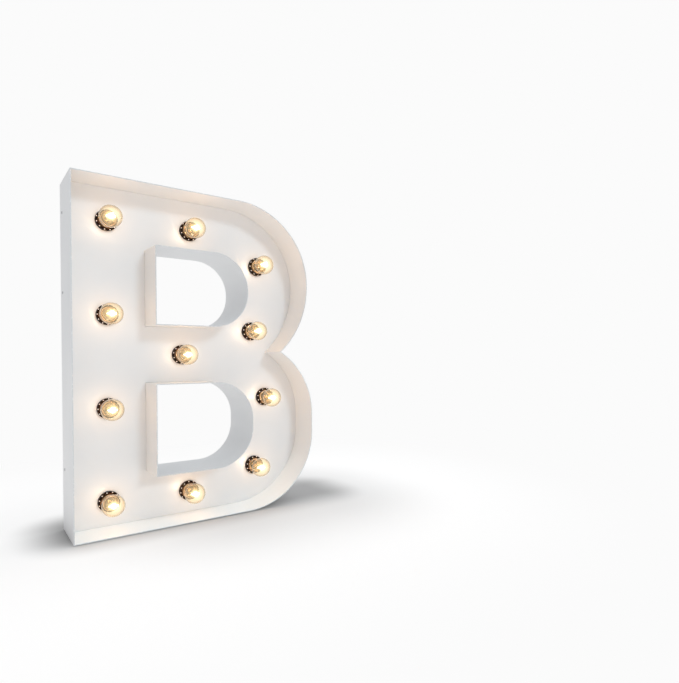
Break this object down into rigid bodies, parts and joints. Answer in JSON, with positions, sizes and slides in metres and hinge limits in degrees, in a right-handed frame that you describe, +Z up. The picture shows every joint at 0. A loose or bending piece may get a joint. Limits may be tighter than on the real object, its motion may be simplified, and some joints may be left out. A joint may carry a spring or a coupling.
{
  "type": "light-up letter",
  "caption": "Free-standing light-up letter B: an open white sheet-metal tray with globe lamps on a recessed face panel, wired to a rear inlet and rocker switch.",
  "frame": {"origin": "on the floor, under the middle of the letter's box", "axes": "+Z up, -Y out of the letter's open front, +X from the stem to the bowls"},
  "size_m": [0.4604, 0.105, 0.6132],
  "materials": {
    "white_paint": "smooth satin white paint on sheet metal",
    "zinc_steel": "bright zinc plate",
    "screw_steel": "plain steel",
    "brown_moulding": "glossy brown thermoset moulding",
    "dark_moulding": "glossy dark brown thermoset moulding",
    "brass": "plain brass",
    "cap_metal": "nickel plate",
    "lamp_glass": "clear blown glass",
    "filament": "glass stem and glowing coil",
    "live_insulation": "brown wire insulation",
    "neutral_insulation": "blue wire insulation",
    "earth_insulation": "green and yellow wire insulation",
    "pin_metal": "plated pins and tabs",
    "black_plastic": "matt black moulding",
    "rocker_plastic": "glossy black moulding",
    "foot_rubber": "soft black rubber"
  },
  "bodies": {
    "letter": {"left_side": "white_paint", "upper_bowl_side": "white_paint", "lower_bowl_side": "white_paint", "upper_counter_wall": "white_paint", "lower_counter_wall": "white_paint", "face_panel": "white_paint", "rear_cover": "white_paint", "wall_brackets": "zinc_steel", "side_screws": "screw_steel", "cover_pillars": "zinc_steel", "cover_screws": "screw_steel", "lamp_holders": "brown_moulding", "shade_rings": "dark_moulding", "screw_shells": "brass", "centre_contacts": "brass", "terminal_screws": "brass", "live_wire": "live_insulation", "neutral_wire": "neutral_insulation", "earth_wire": "earth_insulation", "earth_stud": "brass", "inlet_body": "black_plastic", "inlet_pins": "pin_metal", "inlet_screws": "screw_steel", "switch_housing": "black_plastic", "switch_terminals": "pin_metal", "feet": "foot_rubber"},
    "rocker": {"switch_rocker": "rocker_plastic"},
    "lamp_1_base": {"lamp_1_cap": "cap_metal"},
    "lamp_1": {"lamp_1_globe": "lamp_glass", "lamp_1_filament": "filament"},
    "lamp_2_base": {"lamp_2_cap": "cap_metal"},
    "lamp_2": {"lamp_2_globe": "lamp_glass", "lamp_2_filament": "filament"},
    "lamp_3_base": {"lamp_3_cap": "cap_metal"},
    "lamp_3": {"lamp_3_globe": "lamp_glass", "lamp_3_filament": "filament"},
    "lamp_4_base": {"lamp_4_cap": "cap_metal"},
    "lamp_4": {"lamp_4_globe": "lamp_glass", "lamp_4_filament": "filament"},
    "lamp_5_base": {"lamp_5_cap": "cap_metal"},
    "lamp_5": {"lamp_5_globe": "lamp_glass", "lamp_5_filament": "filament"},
    "lamp_6_base": {"lamp_6_cap": "cap_metal"},
    "lamp_6": {"lamp_6_globe": "lamp_glass", "lamp_6_filament": "filament"},
    "lamp_7_base": {"lamp_7_cap": "cap_metal"},
    "lamp_7": {"lamp_7_globe": "lamp_glass", "lamp_7_filament": "filament"},
    "lamp_8_base": {"lamp_8_cap": "cap_metal"},
    "lamp_8": {"lamp_8_globe": "lamp_glass", "lamp_8_filament": "filament"},
    "lamp_9_base": {"lamp_9_cap": "cap_metal"},
    "lamp_9": {"lamp_9_globe": "lamp_glass", "lamp_9_filament": "filament"},
    "lamp_10_base": {"lamp_10_cap": "cap_metal"},
    "lamp_10": {"lamp_10_globe": "lamp_glass", "lamp_10_filament": "filament"},
    "lamp_11_base": {"lamp_11_cap": "cap_metal"},
    "lamp_11": {"lamp_11_globe": "lamp_glass", "lamp_11_filament": "filament"}
  },
  "joints": [
    {"name": "switch_rock", "type": "hinge", "parent": "letter", "child": "rocker", "pos_m": [-0.125, 0.0441, 0.152], "axis": [-1, 0, 0], "range_deg": [0, 20]},
    {"name": "lamp_1_lift", "type": "slide", "parent": "letter", "child": "lamp_1_base", "axis": [0, -1, 0], "range_m": [0, 0.0182]},
    {"name": "lamp_1_turn", "type": "hinge", "parent": "lamp_1_base", "child": "lamp_1", "pos_m": [-0.162, 0.0155, 0.552], "axis": [0, -1, 0], "range_deg": [0, 1800]},
    {"name": "lamp_2_lift", "type": "slide", "parent": "letter", "child": "lamp_2_base", "axis": [0, -1, 0], "range_m": [0, 0.0182]},
    {"name": "lamp_2_turn", "type": "hinge", "parent": "lamp_2_base", "child": "lamp_2", "pos_m": [-0.162, 0.0155, 0.38417], "axis": [0, -1, 0], "range_deg": [0, 1800]},
    {"name": "lamp_3_lift", "type": "slide", "parent": "letter", "child": "lamp_3_base", "axis": [0, -1, 0], "range_m": [0, 0.0182]},
    {"name": "lamp_3_turn", "type": "hinge", "parent": "lamp_3_base", "child": "lamp_3", "pos_m": [-0.162, 0.0155, 0.21633], "axis": [0, -1, 0], "range_deg": [0, 1800]},
    {"name": "lamp_4_lift", "type": "slide", "parent": "letter", "child": "lamp_4_base", "axis": [0, -1, 0], "range_m": [0, 0.0182]},
    {"name": "lamp_4_turn", "type": "hinge", "parent": "lamp_4_base", "child": "lamp_4", "pos_m": [-0.162, 0.0155, 0.0485], "axis": [0, -1, 0], "range_deg": [0, 1800]},
    {"name": "lamp_5_lift", "type": "slide", "parent": "letter", "child": "lamp_5_base", "axis": [0, -1, 0], "range_m": [0, 0.0182]},
    {"name": "lamp_5_turn", "type": "hinge", "parent": "lamp_5_base", "child": "lamp_5", "pos_m": [-0.013, 0.0155, 0.554], "axis": [0, -1, 0], "range_deg": [0, 1800]},
    {"name": "lamp_6_lift", "type": "slide", "parent": "letter", "child": "lamp_6_base", "axis": [0, -1, 0], "range_m": [0, 0.0182]},
    {"name": "lamp_6_turn", "type": "hinge", "parent": "lamp_6_base", "child": "lamp_6", "pos_m": [-0.029, 0.0155, 0.313], "axis": [0, -1, 0], "range_deg": [0, 1800]},
    {"name": "lamp_7_lift", "type": "slide", "parent": "letter", "child": "lamp_7_base", "axis": [0, -1, 0], "range_m": [0, 0.0182]},
    {"name": "lamp_7_turn", "type": "hinge", "parent": "lamp_7_base", "child": "lamp_7", "pos_m": [-0.017, 0.0155, 0.0465], "axis": [0, -1, 0], "range_deg": [0, 1800]},
    {"name": "lamp_8_lift", "type": "slide", "parent": "letter", "child": "lamp_8_base", "axis": [0, -1, 0], "range_m": [0, 0.0182]},
    {"name": "lamp_8_turn", "type": "hinge", "parent": "lamp_8_base", "child": "lamp_8", "pos_m": [0.1315, 0.0155, 0.499], "axis": [0, -1, 0], "range_deg": [0, 1800]},
    {"name": "lamp_9_lift", "type": "slide", "parent": "letter", "child": "lamp_9_base", "axis": [0, -1, 0], "range_m": [0, 0.0182]},
    {"name": "lamp_9_turn", "type": "hinge", "parent": "lamp_9_base", "child": "lamp_9", "pos_m": [0.1165, 0.0155, 0.362], "axis": [0, -1, 0], "range_deg": [0, 1800]},
    {"name": "lamp_10_lift", "type": "slide", "parent": "letter", "child": "lamp_10_base", "axis": [0, -1, 0], "range_m": [0, 0.0182]},
    {"name": "lamp_10_turn", "type": "hinge", "parent": "lamp_10_base", "child": "lamp_10", "pos_m": [0.1485, 0.0155, 0.223], "axis": [0, -1, 0], "range_deg": [0, 1800]},
    {"name": "lamp_11_lift", "type": "slide", "parent": "letter", "child": "lamp_11_base", "axis": [0, -1, 0], "range_m": [0, 0.0182]},
    {"name": "lamp_11_turn", "type": "hinge", "parent": "lamp_11_base", "child": "lamp_11", "pos_m": [0.123, 0.0155, 0.079], "axis": [0, -1, 0], "range_deg": [0, 1800]}
  ],
  "couplings": [
    {"joint": "lamp_1_lift", "follows": "lamp_1_turn", "m_per_rad": 0.00057773},
    {"joint": "lamp_2_lift", "follows": "lamp_2_turn", "m_per_rad": 0.00057773},
    {"joint": "lamp_3_lift", "follows": "lamp_3_turn", "m_per_rad": 0.00057773},
    {"joint": "lamp_4_lift", "follows": "lamp_4_turn", "m_per_rad": 0.00057773},
    {"joint": "lamp_5_lift", "follows": "lamp_5_turn", "m_per_rad": 0.00057773},
    {"joint": "lamp_6_lift", "follows": "lamp_6_turn", "m_per_rad": 0.00057773},
    {"joint": "lamp_7_lift", "follows": "lamp_7_turn", "m_per_rad": 0.00057773},
    {"joint": "lamp_8_lift", "follows": "lamp_8_turn", "m_per_rad": 0.00057773},
    {"joint": "lamp_9_lift", "follows": "lamp_9_turn", "m_per_rad": 0.00057773},
    {"joint": "lamp_10_lift", "follows": "lamp_10_turn", "m_per_rad": 0.00057773},
    {"joint": "lamp_11_lift", "follows": "lamp_11_turn", "m_per_rad": 0.00057773}
  ]
}
